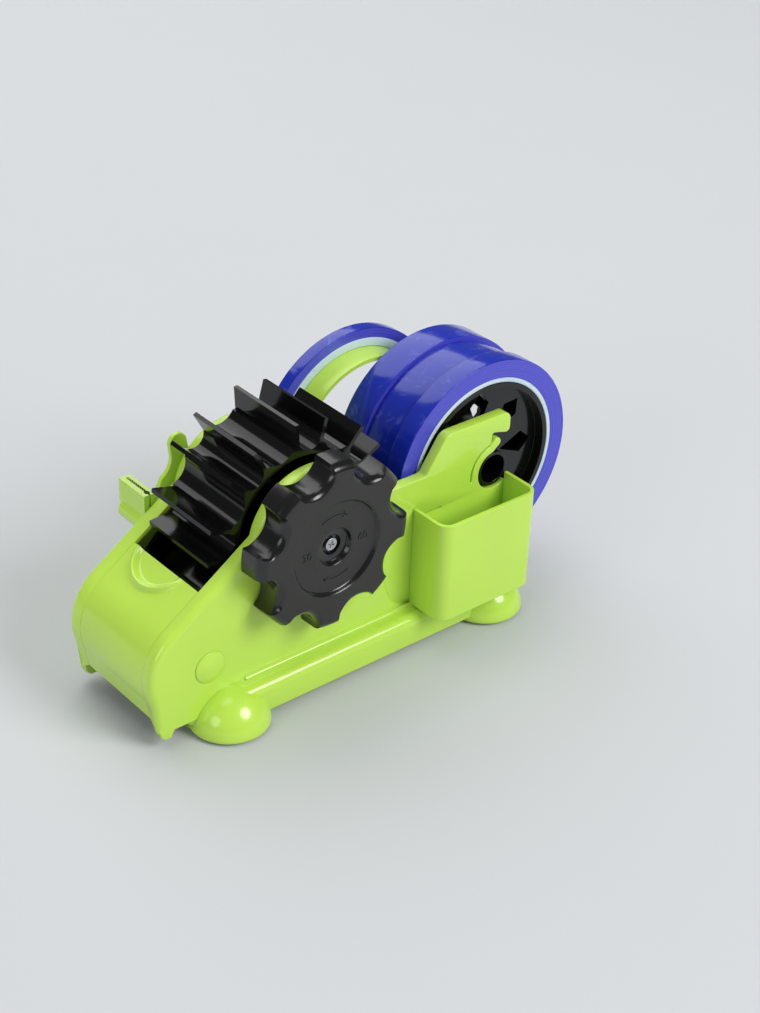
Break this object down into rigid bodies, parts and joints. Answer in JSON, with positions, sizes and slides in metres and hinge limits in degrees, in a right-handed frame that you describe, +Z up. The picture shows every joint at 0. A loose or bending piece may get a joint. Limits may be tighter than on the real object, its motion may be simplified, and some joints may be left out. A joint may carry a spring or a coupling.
{
  "type": "tape dispenser",
  "caption": "Knob-turned desktop tape dispenser: finned drum over a cutter rotor, lift-out spool of tape rolls, a side roll with its own small cutter, and a side pen box.",
  "frame": {"origin": "bottom centre of the bounding box of the whole object, on the table plane", "axes": "+X from the nose to the rear along the longest extent, +Z up, the knob and pen box on the -Y side"},
  "size_m": [0.2293, 0.0982, 0.1215],
  "materials": {
    "green_abs": "gloss moulded",
    "black_abs": "gloss moulded",
    "charcoal_abs": "satin moulded",
    "blue_tape": "wound film",
    "white_core": "translucent",
    "acetal": "natural",
    "steel": "zinc plated",
    "blade_steel": "ground",
    "rubber": "matt"
  },
  "bodies": {
    "frame": {"base_tray": "green_abs", "foot_cups": "rubber", "base_screws": "steel", "side_shell_near": "green_abs", "side_shell_far": "green_abs", "nose_cover": "green_abs", "rear_tie": "green_abs", "chassis": "black_abs", "drum_bushes": "acetal", "rotor_bushes": "acetal", "boss_cap_near": "green_abs", "boss_cap_far": "green_abs", "shaft_cap": "green_abs", "side_ring": "green_abs", "ring_screws": "steel", "side_cutter": "green_abs", "side_blade": "blade_steel", "side_guide": "green_abs"},
    "drum": {"drum_shaft": "steel", "drum_wheel": "black_abs", "drum_pin": "steel", "knob": "charcoal_abs", "knob_screw": "steel", "shaft_clip": "steel"},
    "rotor": {"rotor_body": "black_abs", "rotor_shaft": "steel", "cutter_blades": "blade_steel"},
    "axle": {"spool_axle": "black_abs"},
    "spool": {"hub_near": "black_abs", "hub_far": "black_abs", "core_near": "white_core", "core_mid": "white_core", "core_far": "white_core", "tape_near": "blue_tape", "tape_mid": "blue_tape", "tape_far": "blue_tape"},
    "side_roll": {"side_core": "white_core", "side_tape": "blue_tape"},
    "pen_box": {"pen_box": "green_abs"}
  },
  "joints": [
    {"name": "drum_spin", "type": "hinge", "parent": "frame", "child": "drum", "pos_m": [-0.03355, 0.0001, 0.075], "axis": [0, 1, 0], "continuous": true},
    {"name": "rotor_spin", "type": "hinge", "parent": "frame", "child": "rotor", "pos_m": [-0.08625, 0.0001, 0.03171], "axis": [0, 1, 0], "continuous": true},
    {"name": "spool_lift", "type": "slide", "parent": "frame", "child": "axle", "axis": [0.9063, 0, 0.4226], "range_m": [0, 0.08]},
    {"name": "spool_spin", "type": "hinge", "parent": "axle", "child": "spool", "pos_m": [0.06605, 0.0001, 0.0693], "axis": [0, 1, 0], "continuous": true},
    {"name": "side_roll_spin", "type": "hinge", "parent": "frame", "child": "side_roll", "pos_m": [0.03725, 0.0341, 0.0724], "axis": [0, 1, 0], "continuous": true},
    {"name": "pen_box_pull", "type": "slide", "parent": "frame", "child": "pen_box", "axis": [0, -1, 0], "range_m": [0, 0.04]}
  ],
  "couplings": [
    {"joint": "rotor_spin", "follows": "drum_spin", "ratio": -2}
  ]
}
